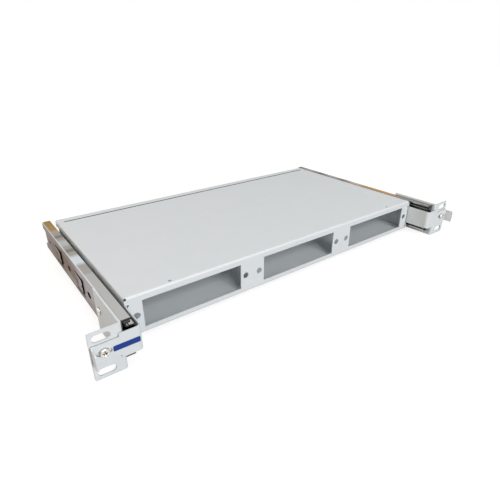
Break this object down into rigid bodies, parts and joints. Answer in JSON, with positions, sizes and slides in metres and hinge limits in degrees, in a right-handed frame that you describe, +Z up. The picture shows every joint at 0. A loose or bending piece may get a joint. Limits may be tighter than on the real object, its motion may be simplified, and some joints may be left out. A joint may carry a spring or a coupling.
{
  "type": "fibre enclosure",
  "caption": "Sliding rack-mount fibre enclosure: a flat sheet-metal drawer box with cassette bays in its front, carried between rack ears on ball-bearing slides.",
  "frame": {"origin": "centre of the four rack slots, on the back face of the ears", "axes": "+X to the right seen from the front, +Y from the front to the back of the rack, +Z up"},
  "size_m": [0.4826, 0.267, 0.0436],
  "materials": {
    "grey_sheet": "satin powder coat",
    "zinc_rail": "bright zinc plate",
    "zinc_screw": "bright zinc plate",
    "ball_steel": "polished",
    "rubber": "matt",
    "black_plastic": "satin"
  },
  "bodies": {
    "rack_sides": {"left_rack_bracket": "grey_sheet", "right_rack_bracket": "grey_sheet", "left_outer_rail": "zinc_rail", "right_outer_rail": "zinc_rail", "left_front_bumpers": "black_plastic", "right_front_bumpers": "black_plastic"},
    "drawer": {"cover": "grey_sheet", "tray": "grey_sheet", "rear_seal": "rubber", "cable_grommets": "rubber", "left_pull_arm": "grey_sheet", "right_pull_arm": "grey_sheet", "left_backing_strip": "grey_sheet", "right_backing_strip": "grey_sheet", "left_inner_rail": "zinc_rail", "right_inner_rail": "zinc_rail"},
    "left_lock_screw": {"left_lock_screw": "zinc_screw"},
    "left_middle_rail": {"left_middle_rail": "zinc_rail"},
    "left_outer_cage": {"left_outer_cage": "zinc_rail", "left_outer_balls": "ball_steel"},
    "left_inner_cage": {"left_inner_cage": "zinc_rail", "left_inner_balls": "ball_steel"},
    "right_lock_screw": {"right_lock_screw": "zinc_screw"},
    "right_middle_rail": {"right_middle_rail": "zinc_rail"},
    "right_outer_cage": {"right_outer_cage": "zinc_rail", "right_outer_balls": "ball_steel"},
    "right_inner_cage": {"right_inner_cage": "zinc_rail", "right_inner_balls": "ball_steel"}
  },
  "joints": [
    {"name": "drawer_slide", "type": "slide", "parent": "rack_sides", "child": "drawer", "axis": [0, -1, 0], "range_m": [0, 0.24]},
    {"name": "left_middle_rail_slide", "type": "slide", "parent": "rack_sides", "child": "left_middle_rail", "axis": [0, -1, 0], "range_m": [0, 0.12]},
    {"name": "left_outer_cage_slide", "type": "slide", "parent": "rack_sides", "child": "left_outer_cage", "axis": [0, -1, 0], "range_m": [0, 0.06]},
    {"name": "left_inner_cage_slide", "type": "slide", "parent": "rack_sides", "child": "left_inner_cage", "axis": [0, -1, 0], "range_m": [0, 0.18]},
    {"name": "left_lock_screw_out", "type": "slide", "parent": "drawer", "child": "left_lock_screw", "axis": [0, -1, 0], "range_m": [0, 0.012]},
    {"name": "right_middle_rail_slide", "type": "slide", "parent": "rack_sides", "child": "right_middle_rail", "axis": [0, -1, 0], "range_m": [0, 0.12]},
    {"name": "right_outer_cage_slide", "type": "slide", "parent": "rack_sides", "child": "right_outer_cage", "axis": [0, -1, 0], "range_m": [0, 0.06]},
    {"name": "right_inner_cage_slide", "type": "slide", "parent": "rack_sides", "child": "right_inner_cage", "axis": [0, -1, 0], "range_m": [0, 0.18]},
    {"name": "right_lock_screw_out", "type": "slide", "parent": "drawer", "child": "right_lock_screw", "axis": [0, -1, 0], "range_m": [0, 0.012]}
  ],
  "couplings": [
    {"joint": "left_middle_rail_slide", "follows": "drawer_slide", "ratio": 0.5},
    {"joint": "left_outer_cage_slide", "follows": "drawer_slide", "ratio": 0.25},
    {"joint": "left_inner_cage_slide", "follows": "drawer_slide", "ratio": 0.75},
    {"joint": "right_middle_rail_slide", "follows": "drawer_slide", "ratio": 0.5},
    {"joint": "right_outer_cage_slide", "follows": "drawer_slide", "ratio": 0.25},
    {"joint": "right_inner_cage_slide", "follows": "drawer_slide", "ratio": 0.75}
  ]
}
